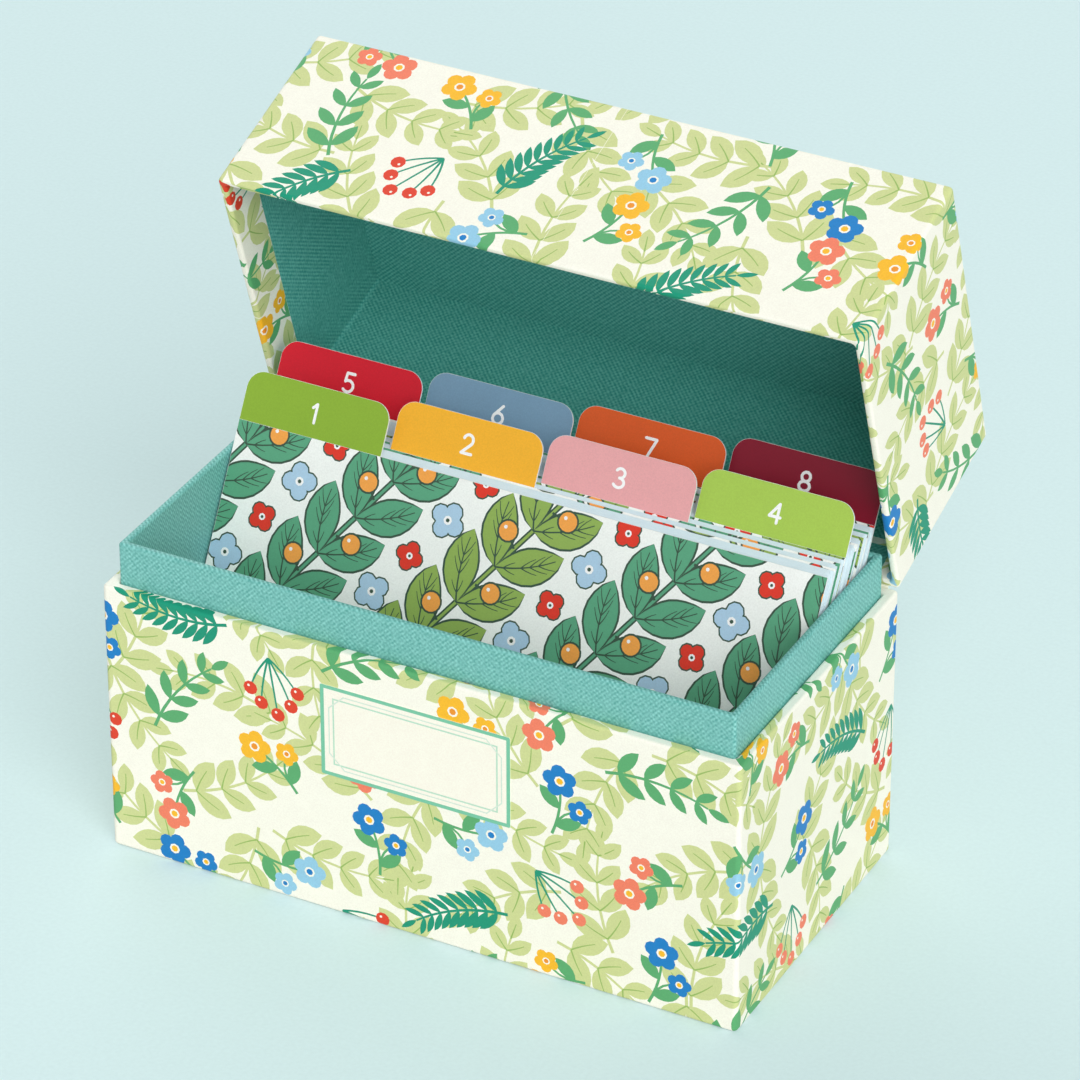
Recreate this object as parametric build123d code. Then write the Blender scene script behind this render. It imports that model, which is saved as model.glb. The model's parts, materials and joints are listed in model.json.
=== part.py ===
from build123d import *
import math
import os

# A paper-covered card box: a base with a raised inner collar, a hinged lid, eight tabbed
# dividers and the cards between them. Millimetres. X is left to right, the front faces -Y,
# Z is up from the surface the box stands on, and the origin is under the middle of the base.

# Outside of the box, over its printed paper
box_width = 170.0
box_depth = 86.0
base_height = 75.0
lid_height = 52.5
lid_open_angle = 71.8  # degrees from closed, where the lid stands at rest
corner_radius = 1.2  # upright corners
rim_radius = 0.8  # rims, and the edges round the bottom and the lid's top
pocket_corner = 1.0  # upright corners inside the base and the lid

# Boards and papers
base_board_thickness = 2.5
lid_board_thickness = 1.6
collar_board_thickness = 1.5
paper_thickness = 0.2  # printed, lining and bottom papers
tape_thickness = 0.12  # tape round the boards' corners
tape_width = 16.0  # on each side of a corner
tape_end_gap = 5.0  # from the end of a tape to the edge of its board
base_turn_in = 15.0  # printed paper turned in over the base's rim
lid_turn_in = 12.0  # printed paper turned in over the lid's rim
bottom_turn_in = 15.0  # printed paper turned in under the base
bottom_sheet_margin = 2.0  # from the base's outside to the bottom sheet

# Collar inside the base
collar_rise = 11.0  # above the rim of the base
collar_fit = 0.2  # glue gap between the base's wall and the collar
collar_tuck = 12.0  # how far the collar's paper goes down outside, below the rim
collar_rim_radius = 0.7
collar_pocket_corner = 0.5
liner_fit = 0.3  # from the floor paper to the collar

# Hinge
rim_gap = 0.2  # between the rims when the lid is shut
hinge_leg = 15.0  # outer strip, on the base and on the lid
hinge_end_inset = 3.0  # from the box's side to the end of the outer strip
inner_hinge_thickness = 0.14
inner_hinge_leg = 10.0  # inner strip, down behind the collar and up inside the lid
inner_hinge_end_inset = 6.0

# Label on the front
label_width = 50.8
label_height = 25.4
label_thickness = 0.15
label_corner = 0.5
label_drop = 10.0  # from the rim down to the label

# Dividers and cards
divider_side_gap = 0.625  # from a divider to the collar, on each side
divider_height = 103.2
divider_thickness = 0.4
tab_height = 12.7
tab_radius = 4.5
tab_gap = 0.3  # between neighbouring tabs of a row
tabs_in_row = 4
card_margin = 0.575  # how much a card falls short of a divider, on each side
card_drop = 0.2  # how much a card is lower than a divider without its tab
card_thickness = 0.25
air_gap = 0.2  # between one sheet and the next
card_shuffle = 0.6  # how far cards stray sideways
cards_behind = [7, 4, 4, 12, 5, 4, 5, 2]  # behind each divider, from the front
stack_clearance = 0.3  # from the stack to the floor paper and to the collar

# Heights and insets that follow from the sizes above. An inset is measured from the
# outside of the box to the surface named.
base_wall = base_board_thickness + 2 * paper_thickness
lid_wall = lid_board_thickness + 2 * paper_thickness
base_floor = 2 * paper_thickness + base_board_thickness
inside_floor = base_floor + paper_thickness
collar_outside = base_wall + collar_fit
collar_board_outside = collar_outside + paper_thickness
collar_board_inside = collar_board_outside + collar_board_thickness
collar_inside = collar_board_inside + paper_thickness
collar_corner = pocket_corner - collar_fit
collar_top = base_height + collar_rise
hinge_y = box_depth / 2
hinge_z = base_height + rim_gap / 2
divider_width = box_width - 2 * (collar_inside + divider_side_gap)
card_width = divider_width - 2 * card_margin
card_height = divider_height - card_drop


def block(inset, low, high, corner):
    """A solid with the box's plan, drawn in by inset, between two heights."""
    outline = RectangleRounded(box_width - 2 * inset, box_depth - 2 * inset, corner)
    return Pos(0, 0, low) * extrude(outline, high - low)


def round_level(solid, end, radius):
    """Round the edges that lie in the solid's lowest (0) or highest (-1) level."""
    return fillet(solid.edges().group_by(Axis.Z)[end], radius)


def tray(inset, low, high, wall, floor, corner, inner_corner, edge):
    """A block with a pocket; wall is the pocket's inset, floor its height."""
    pocket = block(wall, floor, high + 1, inner_corner)
    shell = block(inset, low, high, corner) - pocket
    return round_level(round_level(shell, -1, edge), 0, edge)


def corner_tapes(low, high):
    """Four strips of tape bent round the upright corners of a board tray."""
    outer = block(paper_thickness, low, high, corner_radius - paper_thickness)
    inner_inset = paper_thickness + tape_thickness
    inner = block(inner_inset, low - 1, high + 1, corner_radius - inner_inset)
    skin = outer - inner
    tapes = []
    for side_x in (-1, 1):
        for side_y in (-1, 1):
            x = side_x * (box_width / 2 - paper_thickness)
            y = side_y * (box_depth / 2 - paper_thickness)
            reach = Box(2 * tape_width, 2 * tape_width, 2 * high)
            tapes += (skin & Pos(x, y, high) * reach).solids()
    return tapes


def covered_tray(low, high, board, turn_in):
    """A tray of board and the printed paper that covers it, standing open side up.

    The paper goes from the underside up the walls, over the rim and down inside by turn_in.
    """
    floor = low + paper_thickness + board
    wall = board + 2 * paper_thickness
    tray_board = tray(
        paper_thickness, low + paper_thickness, high - paper_thickness,
        wall - paper_thickness, floor,
        corner_radius - paper_thickness, pocket_corner + paper_thickness,
        rim_radius - paper_thickness,
    )
    paper = tray(0, low, high, wall, floor, corner_radius, pocket_corner, rim_radius)
    paper -= tray_board
    bare = block(
        wall - paper_thickness, floor - paper_thickness / 2, high - turn_in,
        pocket_corner + paper_thickness,
    )
    paper -= bare
    tapes = corner_tapes(low + tape_end_gap, high - tape_end_gap)
    for tape in tapes:
        tray_board -= tape
    return tray_board, paper, tapes


def base_nodes():
    board, paper, tapes = covered_tray(
        paper_thickness, base_height, base_board_thickness, base_turn_in
    )
    underside_hole = block(bottom_turn_in, 0, 2 * paper_thickness, rim_radius)
    paper -= underside_hole
    sheet = block(bottom_sheet_margin, 0, paper_thickness, corner_radius)
    sheet += block(
        bottom_turn_in + liner_fit, paper_thickness / 2, 2 * paper_thickness, rim_radius
    )
    liner = block(collar_inside + liner_fit, base_floor, inside_floor, rim_radius)
    return {
        "base_board": board,
        "base_wrap": paper,
        "base_corner_stays": Compound(children=tapes),
        "base_bottom_sheet": sheet,
        "floor_liner": liner,
        "front_label": front_label(),
    }


def front_label():
    z = base_height - label_drop - label_height / 2
    face = Plane(origin=(0, -box_depth / 2, z), x_dir=(1, 0, 0), z_dir=(0, -1, 0))
    outline = RectangleRounded(label_width, label_height, label_corner)
    return face * extrude(outline, label_thickness)


def collar_nodes():
    """The frame that stands inside the base, and the paper folded over its top."""
    board_top = collar_top - paper_thickness
    board = block(
        collar_board_outside, base_floor, board_top, collar_corner - paper_thickness
    )
    board -= block(
        collar_board_inside, base_floor - 1, board_top + 1,
        collar_pocket_corner + paper_thickness,
    )
    board = round_level(board, -1, collar_rim_radius - paper_thickness)
    paper = block(collar_outside, base_floor, collar_top, collar_corner)
    paper -= block(collar_inside, base_floor - 1, collar_top + 1, collar_pocket_corner)
    paper = round_level(paper, -1, collar_rim_radius)
    paper -= board
    bare_top = base_height - collar_tuck
    bare = block(collar_outside - 1, base_floor - 1, bare_top, collar_corner)
    bare -= block(
        collar_board_outside, base_floor - 2, bare_top + 1, collar_corner - paper_thickness
    )
    paper -= bare
    return {"collar_board": board, "collar_wrap": paper}


def as_opened(shape):
    """Turn a closed lid's shape back about the hinge line to where it rests."""
    line = Axis((0, hinge_y, hinge_z), (-1, 0, 0))
    return shape.rotate(line, lid_open_angle)


def lid_in_place(shape):
    """Turn over a tray standing on its lid top, set it on the base and open it."""
    turned = Pos(0, 0, base_height + rim_gap + lid_height) * Rot(180, 0, 0) * shape
    return as_opened(turned)


def lid_nodes():
    board, paper, tapes = covered_tray(0, lid_height, lid_board_thickness, lid_turn_in)
    floor = paper_thickness + lid_board_thickness
    liner = block(
        lid_wall - paper_thickness, floor, lid_height - lid_turn_in,
        pocket_corner + paper_thickness,
    )
    liner -= block(
        lid_wall, floor + paper_thickness, lid_height, pocket_corner
    )
    return {
        "lid_board": lid_in_place(board),
        "lid_wrap": lid_in_place(paper),
        "lid_corner_stays": Compound(children=[lid_in_place(tape) for tape in tapes]),
        "lid_liner": lid_in_place(liner),
    }


def strip(path, thickness, length):
    """A strip of paper along X that follows a path of (y, z) points, laid on its right."""
    normals = []
    for (y0, z0), (y1, z1) in zip(path, path[1:]):
        run = math.hypot(y1 - y0, z1 - z0)
        normals.append(((z1 - z0) / run, (y0 - y1) / run))
    laid = []
    for i, (y, z) in enumerate(path):
        before = normals[max(i - 1, 0)]
        after = normals[min(i, len(normals) - 1)]
        share = 1 + before[0] * after[0] + before[1] * after[1]
        laid.append((
            y + thickness * (before[0] + after[0]) / share,
            z + thickness * (before[1] + after[1]) / share,
        ))
    outline = make_face(Polyline(*path, *reversed(laid), close=True))
    flat = Plane(origin=(-length / 2, 0, 0), x_dir=(0, 1, 0), z_dir=(1, 0, 0))
    return flat * extrude(outline, length)


def opened_point(y, z):
    """Where a point of the closed lid's section, from the hinge line, is at rest."""
    angle = math.radians(lid_open_angle)
    return (
        hinge_y + y * math.cos(angle) + z * math.sin(angle),
        hinge_z - y * math.sin(angle) + z * math.cos(angle),
    )


def hinge_nodes():
    """The outer strip is creased into the corner behind, the inner one is drawn tight."""
    outer_path = [
        (hinge_y, hinge_z - hinge_leg),
        (hinge_y, hinge_z),
        opened_point(0, hinge_leg),
    ]
    outer = strip(outer_path, paper_thickness, box_width - 2 * hinge_end_inset)
    tuck_y = hinge_y - base_wall - (collar_fit - inner_hinge_thickness) / 2
    lid_face = inner_hinge_thickness - lid_wall
    inner_path = [
        (tuck_y, base_height - inner_hinge_leg),
        (tuck_y, base_height + rim_gap),
        opened_point(-lid_wall, rim_gap),
        opened_point(-lid_wall, inner_hinge_leg),
    ]
    inner = strip(
        list(reversed(inner_path)), inner_hinge_thickness,
        box_width - 2 * inner_hinge_end_inset,
    )
    return {"hinge_strip": outer, "hinge_liner": inner}


# The stack leans from the foot of the collar's front wall to the top of its back wall.
stack_thickness = (
    len(cards_behind) * (divider_thickness + air_gap)
    + sum(cards_behind) * (card_thickness + air_gap)
    - air_gap
)
stack_front = -(box_depth / 2 - collar_inside - stack_clearance)
stack_bottom = inside_floor + stack_clearance
lean_run = box_depth / 2 - collar_inside - stack_front
lean_rise = collar_top - stack_bottom
lean = (
    math.acos((stack_thickness + stack_clearance) / math.hypot(lean_run, lean_rise))
    - math.atan2(lean_rise, lean_run)
)


def leaning_sheet(outline, thickness, offset, shift):
    """A sheet of the stack, its front face offset behind the first sheet's front face."""
    z = stack_bottom + thickness * math.sin(lean)
    first_z = stack_bottom + divider_thickness * math.sin(lean)
    y = stack_front + (offset + (z - first_z) * math.sin(lean)) / math.cos(lean)
    face = Plane(
        origin=(shift, y, z),
        x_dir=(1, 0, 0),
        z_dir=(0, -math.cos(lean), math.sin(lean)),
    )
    return face * Pos(0, 0, -thickness) * extrude(outline, thickness)


def divider_outline(position):
    """A divider with its tab at one of the places along its top edge, from the left."""
    at_foot = (Align.CENTER, Align.MIN)
    pitch = divider_width / tabs_in_row
    tab_width = pitch - tab_gap if position < tabs_in_row - 1 else pitch
    left = position * pitch - divider_width / 2
    tab = Rectangle(tab_width, divider_height / 2 + tab_height, align=at_foot)
    tab = fillet(tab.vertices().group_by(Axis.Y)[-1], tab_radius)
    body = Rectangle(divider_width, divider_height, align=at_foot)
    return body + Pos(left + tab_width / 2, divider_height / 2) * tab


def stack_nodes():
    """Dividers and the packs of cards behind them, from the front of the box."""
    nodes = {}
    card = Rectangle(card_width, card_height, align=(Align.CENTER, Align.MIN))
    turn = math.pi * (3 - math.sqrt(5))
    offset = 0.0
    placed = 0
    for row, count in enumerate(cards_behind):
        outline = divider_outline(row % tabs_in_row)
        nodes[f"divider_{row + 1}"] = leaning_sheet(outline, divider_thickness, offset, 0)
        offset += divider_thickness + air_gap
        pack = []
        for _ in range(count):
            shift = card_shuffle * math.sin(turn * placed)
            pack.append(leaning_sheet(card, card_thickness, offset, shift))
            offset += card_thickness + air_gap
            placed += 1
        nodes[f"cards_{row + 1}"] = Compound(children=pack)
    return nodes


nodes = {
    **base_nodes(), **collar_nodes(), **hinge_nodes(), **lid_nodes(), **stack_nodes(),
}
os.makedirs("parts", exist_ok=True)
for name, shape in nodes.items():
    export_step(shape, f"parts/{name}.step")
print(f"{len(nodes)} nodes, stack {stack_thickness:.2f} mm thick, lean {math.degrees(lean):.2f} deg")
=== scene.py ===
import json
import random
from math import atan2, ceil, cos, pi, radians, sin, sqrt, tan

import bmesh
import bpy
import numpy as np
from mathutils import Matrix, Vector, geometry


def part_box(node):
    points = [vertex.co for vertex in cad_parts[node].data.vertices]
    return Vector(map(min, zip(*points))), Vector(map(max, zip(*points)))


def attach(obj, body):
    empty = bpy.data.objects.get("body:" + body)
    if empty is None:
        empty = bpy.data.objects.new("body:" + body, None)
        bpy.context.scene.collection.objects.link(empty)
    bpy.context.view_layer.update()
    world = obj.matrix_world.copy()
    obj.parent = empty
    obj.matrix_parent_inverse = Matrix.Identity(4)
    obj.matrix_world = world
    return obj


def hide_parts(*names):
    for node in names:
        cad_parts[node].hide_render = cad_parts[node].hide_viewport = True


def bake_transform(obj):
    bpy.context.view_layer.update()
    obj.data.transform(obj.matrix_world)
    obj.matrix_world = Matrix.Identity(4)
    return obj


# A card box covered in printed paper. The printed sheets, the hinge strips, the dividers and
# the label are cut here from flat sheets whose print is part of the mesh; everything else
# that shows is the CAD model's own. Drawing is done in millimetres, meshes are in metres.

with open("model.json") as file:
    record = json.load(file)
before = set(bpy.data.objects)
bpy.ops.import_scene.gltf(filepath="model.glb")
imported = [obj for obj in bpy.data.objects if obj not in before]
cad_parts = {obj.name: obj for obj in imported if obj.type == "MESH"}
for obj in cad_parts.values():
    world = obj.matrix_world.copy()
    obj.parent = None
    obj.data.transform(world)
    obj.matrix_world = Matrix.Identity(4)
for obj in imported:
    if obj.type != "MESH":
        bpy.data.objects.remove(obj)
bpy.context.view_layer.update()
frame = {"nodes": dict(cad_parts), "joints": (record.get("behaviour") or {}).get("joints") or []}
scene = bpy.context.scene
MM = 0.001

# ----- sizes: the frame's, or the same as the CAD's


def corners_of(node):
    """The lowest and the highest corner of a CAD node's box."""
    return [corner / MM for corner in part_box(node)]


def width_of(node):
    near, far = corners_of(node)
    return far.x - near.x


def joint_named(name):
    return next(j for j in frame["joints"] if j["name"] == name)


def new_object(name, data):
    made = bpy.data.objects.new(name, data)
    scene.collection.objects.link(made)
    return made


BASE_LOW, BASE_HIGH = corners_of("base_wrap")
BOX_WIDTH = BASE_HIGH.x - BASE_LOW.x
BOX_DEPTH = BASE_HIGH.y - BASE_LOW.y
BASE_HEIGHT = BASE_HIGH.z
LID_HEIGHT = 52.5
PAPER = 0.2
CORNER = 1.2  # radius of the upright corners
RIM = 0.8  # radius of the rims and of the edges round the bottom and the lid's top
POCKET_CORNER = 1.0
BASE_WALL = 2.9
LID_WALL = 2.0
BASE_TURN_IN = 15.0
LID_TURN_IN = 12.0
UNDERSIDE_TURN_IN = 15.0
COLLAR_GAP = 0.2  # between the base's wall and the collar
HINGE_LEG = 15.0
CREASE = 0.4  # the outer hinge strip bends this near the hinge line
INNER_HINGE_LEG = 10.0
INNER_HINGE_THICKNESS = 0.14
INNER_HINGE_STEPS = 6  # between the base and the lid
DIVIDER_THICKNESS = 0.4
TAB_HEIGHT = 12.7
TAB_RADIUS = 4.5
TAB_GAP = 0.3
TABS_IN_ROW = 4
LABEL_CORNER = 0.5
PRINT_MARGIN = 0.05  # unprinted, at a sheet's edge
INNER_GAP = 0.02  # from the inside of a printed sheet to the board it covers
SHEET = PAPER - INNER_GAP  # thickness of a printed sheet
CORNER_STEPS = 5
RIM_STEPS = 4

HINGE = joint_named("lid_hinge")
HINGE_LINE = Vector(HINGE["pos_m"]) / MM
OPEN_ANGLE = radians(-HINGE["range_deg"][0])
RIM_GAP = 2 * (HINGE_LINE.z - BASE_HEIGHT)

# ----- drawing on a flat sheet
# A drawing is a list of (ink, outline); later outlines lie over earlier ones. A pen is the
# width of a line at its start and at its end.


def run_line(x, y, angle, length, turn, steps):
    """Points and headings along a line that sets out at an angle and turns steadily."""
    step = length / steps
    line = [(x, y, angle)]
    for _ in range(steps):
        middle = angle + turn / steps / 2
        x += step * cos(middle)
        y += step * sin(middle)
        angle += turn / steps
        line.append((x, y, angle))
    return line


def centred_line(x, y, angle, length, turn, steps):
    """A bowed line whose middle is near x, y."""
    half = length / 2
    start_x, start_y = x - half * cos(angle), y - half * sin(angle)
    return run_line(start_x, start_y, angle - turn / 2, length, turn, steps)


def ribbon(ink, line, wide, narrow=None):
    """A drawn line, as a row of quads, wide at its start and narrow at its end."""
    narrow = wide if narrow is None else narrow
    sides = []
    for i, (x, y, angle) in enumerate(line):
        half = (wide + (narrow - wide) * i / (len(line) - 1)) / 2
        across = (-sin(angle) * half, cos(angle) * half)
        sides.append(((x - across[0], y - across[1]), (x + across[0], y + across[1])))
    return [
        (ink, [right, next_right, next_left, left])
        for (right, left), (next_right, next_left) in zip(sides, sides[1:])
    ]


def blade(ink, line, width, roundness=0.75):
    """A leaf along a line, broadest in its middle."""
    right, left = [], []
    for i, (x, y, angle) in enumerate(line):
        share = i / (len(line) - 1)
        half = width / 2 * max(sin(pi * share), 0.0) ** roundness
        right.append((x + sin(angle) * half, y - cos(angle) * half))
        left.append((x - sin(angle) * half, y + cos(angle) * half))
    return [(ink, right + left[-2:0:-1])]


def disc(ink, x, y, radius, sides):
    turn = 2 * pi / sides
    return [(ink, [
        (x + radius * cos(i * turn), y + radius * sin(i * turn))
        for i in range(sides)
    ])]


def petals(ink, x, y, angle, count, ring, radius):
    """Round petals in a ring about x, y, the first of them at an angle."""
    drawing = []
    for i in range(count):
        way = angle + 2 * pi * i / count
        drawing += disc(ink, x + ring * cos(way), y + ring * sin(way), radius, 10)
    return drawing


def clipped(outline, box):
    """The part of an outline inside a box (left, bottom, right, top)."""
    left, bottom, right, top = box
    for axis, limit, sign in ((0, left, 1), (1, bottom, 1), (0, right, -1), (1, top, -1)):
        kept = []
        for i, here in enumerate(outline):
            before = outline[i - 1]
            inside = sign * (here[axis] - limit) >= 0
            was_inside = sign * (before[axis] - limit) >= 0
            if inside != was_inside:
                share = (limit - before[axis]) / (here[axis] - before[axis])
                kept.append(tuple(b + share * (h - b) for b, h in zip(before, here)))
            if inside:
                kept.append(tuple(here))
        outline = kept
        if len(outline) < 3:
            return []
    return outline


def area_of(outline):
    return sum(
        a[0] * b[1] - b[0] * a[1] for a, b in zip(outline, outline[1:] + outline[:1])
    ) / 2


def fitted(drawing, box):
    """A drawing cut to a box, without what is left too small to print."""
    smallest = 0.01
    kept = []
    for ink, outline in drawing:
        cut = clipped(outline, box)
        if area_of(cut) > smallest:
            kept.append((ink, cut))
    return kept


def rectangle(left, bottom, right, top):
    return [(left, bottom), (right, bottom), (right, top), (left, top)]


def moved(drawing, x, y):
    return [(ink, [(a + x, b + y) for a, b in outline]) for ink, outline in drawing]


# ----- the box's print
# A generic print: leafy sprigs, ferns, berries and round blossoms, tossed in all directions.
PRINT_INKS = {
    "ground": (252, 250, 236),
    "olive": (208, 217, 150),
    "moss": (150, 186, 95),
    "green": (92, 172, 112),
    "teal": (20, 150, 118),
    "blue": (20, 128, 200),
    "sky": (150, 205, 232),
    "yellow": (252, 190, 40),
    "amber": (240, 150, 40),
    "coral": (244, 130, 100),
    "red": (226, 66, 40),
}
SPRIG_PITCH = 25.0
SPRIG_LENGTH = 31.0
SPRIG_LEAF = (10.5, 5.6)  # length and width
SPRIG_SHIFT = 1.5  # how far a sprig strays from its row and column
SPRIG_TURN = 0.3  # and how far it turns out of its turn
SPRIG_BOW = 0.6
FRONT_TURN = 1.9  # from a sprig to the motif that lies over it
FERN_LENGTH = 27.0
LEAF_LEAN = 0.95  # from the stem
LEAF_CURL = 0.35
STEM_PEN = (0.9, 0.5)
VEIN_PEN = (0.4, 0.2)
BLOSSOM_RADIUS = 4.6
SMALL_BLOSSOM = 0.72  # the side stalk's blossom, as a share of the other
STALK = (15.5, 0.5)  # length and bow
SIDE_STALK = (9.0, -1.1)
STALK_PEN = (0.8, 0.6)
SIDE_STALK_PEN = (0.7, 0.5)
STALK_LEAF = (7.5, 3.6)
STALK_LEAF_LEAN = 0.9
BERRY_STALK = 15.5
BERRY_PEN = (0.6, 0.45)
BERRY_LEAN = 0.42  # from one stalk of the fan to the next
BERRY_RADIUS = 1.9
GOLDEN_ANGLE = pi * (3 - sqrt(5))
# The seven kinds of motifs that lie over the sprigs
FERNS = {0: ("green", (8.5, 3.4), 8, 2), 3: ("teal", (7.5, 2.2), 10, 1)}
BLOSSOMS = {
    1: ("blue", "yellow"), 2: ("yellow", "amber"), 4: ("coral", "yellow"), 6: ("sky", "blue"),
}
KINDS = 7


def leafy(ink, vein, stem, leaf_size, every):
    """Pairs of plain oval leaves on a stem, and one leaf at its tip."""
    reach, width = leaf_size
    drawing, veins, places = ribbon(ink, stem, *STEM_PEN), [], []
    for i in range(1, len(stem) - 1, every):
        px, py, heading = stem[i]
        size = reach * (1.1 - 0.45 * i / len(stem))
        for side in (1, -1):
            places.append((px, py, heading + side * LEAF_LEAN, size, -side * LEAF_CURL))
    places.append((*stem[-1], reach * 0.7, 0.0))
    for px, py, heading, size, curl in places:
        leaf = run_line(px, py, heading, size, curl, 6)
        drawing += blade(ink, leaf, width * size / reach)
        if vein:
            veins += ribbon(vein, leaf[:5], *VEIN_PEN)
    return drawing + veins


def blossom(ink, heart, x, y, angle, radius):
    """Five round petals round a heart."""
    drawing = petals(ink, x, y, angle, 5, 0.56 * radius, 0.44 * radius)
    drawing += disc(ink, x, y, radius * 0.5, 10)
    return drawing + disc("ground", x, y, radius * 0.31, 8) + disc(heart, x, y, radius * 0.2, 7)


def blossom_pair(ink, heart, x, y, angle):
    """Two blossoms and two leaves on one forked stalk."""
    stalk = centred_line(x, y, angle, *STALK, 6)
    side_stalk = run_line(*stalk[1], *SIDE_STALK, 4)
    drawing = ribbon("green", stalk, *STALK_PEN)
    drawing += ribbon("green", side_stalk, *SIDE_STALK_PEN)
    length, width = STALK_LEAF
    for i, side in ((1, -1), (3, 1)):
        px, py, heading = stalk[i]
        leaf = run_line(px, py, heading + side * STALK_LEAF_LEAN, length, 0.0, 6)
        drawing += blade("green", leaf, width)
    drawing += blossom(ink, heart, *side_stalk[-1], BLOSSOM_RADIUS * SMALL_BLOSSOM)
    return drawing + blossom(ink, heart, *stalk[-1], BLOSSOM_RADIUS)


def berries(ink, x, y, angle):
    """A fan of thin stalks with a round berry at each end."""
    drawing, heads = [], []
    root_x, root_y, _ = centred_line(x, y, angle, 16.0, 0.0, 2)[0]
    for i in range(-2, 3):
        lean = i * BERRY_LEAN
        length = BERRY_STALK - 2.2 * abs(i)
        stalk = run_line(root_x, root_y, angle + lean, length, -0.5 * lean, 5)
        drawing += ribbon("teal", stalk, *BERRY_PEN)
        px, py, _ = stalk[-1]
        heads += disc(ink, px, py, BERRY_RADIUS, 10) + disc("ground", px - 0.5, py + 0.6, 0.4, 5)
    return drawing + heads


def tossed(length, height, seed):
    """A drawing that covers length x height and repeats in x, so that its ends meet."""
    rng = random.Random(seed)
    columns = 2 * max(1, round(length / SPRIG_PITCH / 2))
    pitch = length / columns
    rows = ceil(height / SPRIG_PITCH) + 1
    back, front = [], []
    for column in range(columns):
        for row in range(rows):
            x = column * pitch + rng.uniform(-SPRIG_SHIFT, SPRIG_SHIFT)
            y = (row + 0.5 * (column % 2) - 0.25) * SPRIG_PITCH
            y += rng.uniform(-SPRIG_SHIFT, SPRIG_SHIFT)
            angle = GOLDEN_ANGLE * (column * rows + row)
            angle += rng.uniform(-SPRIG_TURN, SPRIG_TURN)
            turn = rng.choice((-SPRIG_BOW, SPRIG_BOW))
            stem = centred_line(x, y, angle, SPRIG_LENGTH, turn, 8)
            back += leafy("olive", "moss", stem, SPRIG_LEAF, 2)
            x, y, angle = x + pitch / 2, y + SPRIG_PITCH / 4, angle + FRONT_TURN
            kind = (2 * column + 3 * row + column // 6) % KINDS
            if kind in FERNS:
                ink, leaf_size, steps, every = FERNS[kind]
                stem = centred_line(x, y, angle, FERN_LENGTH, -turn, steps)
                front += leafy(ink, None, stem, leaf_size, every)
            elif kind in BLOSSOMS:
                front += blossom_pair(*BLOSSOMS[kind], x, y, angle)
            else:
                front += berries(rng.choice(("red", "coral")), x, y, angle)
    reach = SPRIG_LENGTH + SPRIG_LEAF[0]
    wrapped = []
    for layer in (back, front):
        for shift in (-length, 0.0, length):
            wrapped += [
                (ink, outline) for ink, outline in moved(layer, shift, 0.0)
                if -reach < outline[0][0] < length + reach
            ]
    return wrapped


# ----- the dividers' print
# A generic print too: slanting branches with outlined leaves, and small flowers between.
DIVIDER_INKS = {
    "ground": (247, 250, 246),
    "edge": (236, 246, 252),
    "back": (244, 247, 248),
    "dark": (58, 82, 66),
    "leaf": (146, 176, 88),
    "fern": (92, 164, 128),
    "mist": (176, 208, 232),
    "red": (226, 58, 42),
    "orange": (246, 166, 78),
    "white": (250, 250, 250),
}
TAB_INKS = [
    (140, 175, 55), (244, 178, 48), (232, 166, 168), (168, 200, 84),
    (208, 24, 44), (120, 154, 180), (222, 92, 38), (136, 16, 42),
]
BRANCH_SPACING = 33.0
BRANCH_SLANT = 0.95
BRANCH_STEP = 6.6
BRANCH_LEAF = 18.5
BRANCH_LEAF_WIDTH = 0.46  # as a share of its length
BRANCH_LEAF_LEAN = 0.85
BRANCH_LEAF_CURL = 0.5
OUTLINE_WIDTH = 0.55
BRANCH_VEINS = 4  # pairs
BRANCH_VEIN_LEAN = 0.62
NECK_LENGTH = 4.6  # of an orange berry
NECK_LEAN = 1.2
ORANGE_RADIUS = 2.4
FLOWERS = (("red", 3.4), ("mist", 4.4))  # ink and radius


def outlined(ink, line, width):
    """A leaf with a dark outline and dark veins that run forward from its middle."""
    drawing = blade("dark", line, width + 2 * OUTLINE_WIDTH)
    drawing += blade(ink, line, width, 0.85)
    drawing += ribbon("dark", line[:-1], 0.45, 0.25)
    parts = BRANCH_VEINS + 2
    for i in range(1, BRANCH_VEINS + 1):
        px, py, heading = line[round(i * (len(line) - 1) / parts)]
        length = width * 0.42 * sin(pi * i / parts) ** 0.5 * 1.35
        for side in (1, -1):
            way = heading + side * BRANCH_VEIN_LEAN
            drawing += ribbon("dark", run_line(px, py, way, length, -side * 0.35, 3), 0.32, 0.16)
    return drawing


def branch(ink, x, y, angle, steps):
    """A straight branch: pairs of outlined leaves, and an orange berry between them."""
    stem = run_line(x, y, angle, BRANCH_STEP * steps, 0.0, steps)
    leaves, oranges = [], []
    for i in range(1, steps):
        px, py, heading = stem[i]
        if i % 2:
            for side in (1, -1):
                way = heading + side * BRANCH_LEAF_LEAN
                line = run_line(px, py, way, BRANCH_LEAF, -side * BRANCH_LEAF_CURL, 8)
                leaves += outlined(ink, line, BRANCH_LEAF * BRANCH_LEAF_WIDTH)
            continue
        side = 1 if i % 4 else -1
        neck = run_line(px, py, heading + side * NECK_LEAN, NECK_LENGTH, 0.0, 2)
        px, py, _ = neck[-1]
        oranges += ribbon("dark", neck, 0.6)
        oranges += disc("dark", px, py, ORANGE_RADIUS + 0.5, 16)
        oranges += disc("orange", px, py, ORANGE_RADIUS, 16)
        oranges += disc("white", px - 0.8, py + 0.8, 0.5, 6)
    return ribbon("dark", stem, 1.6) + ribbon(ink, stem, 0.7) + leaves + oranges


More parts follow.
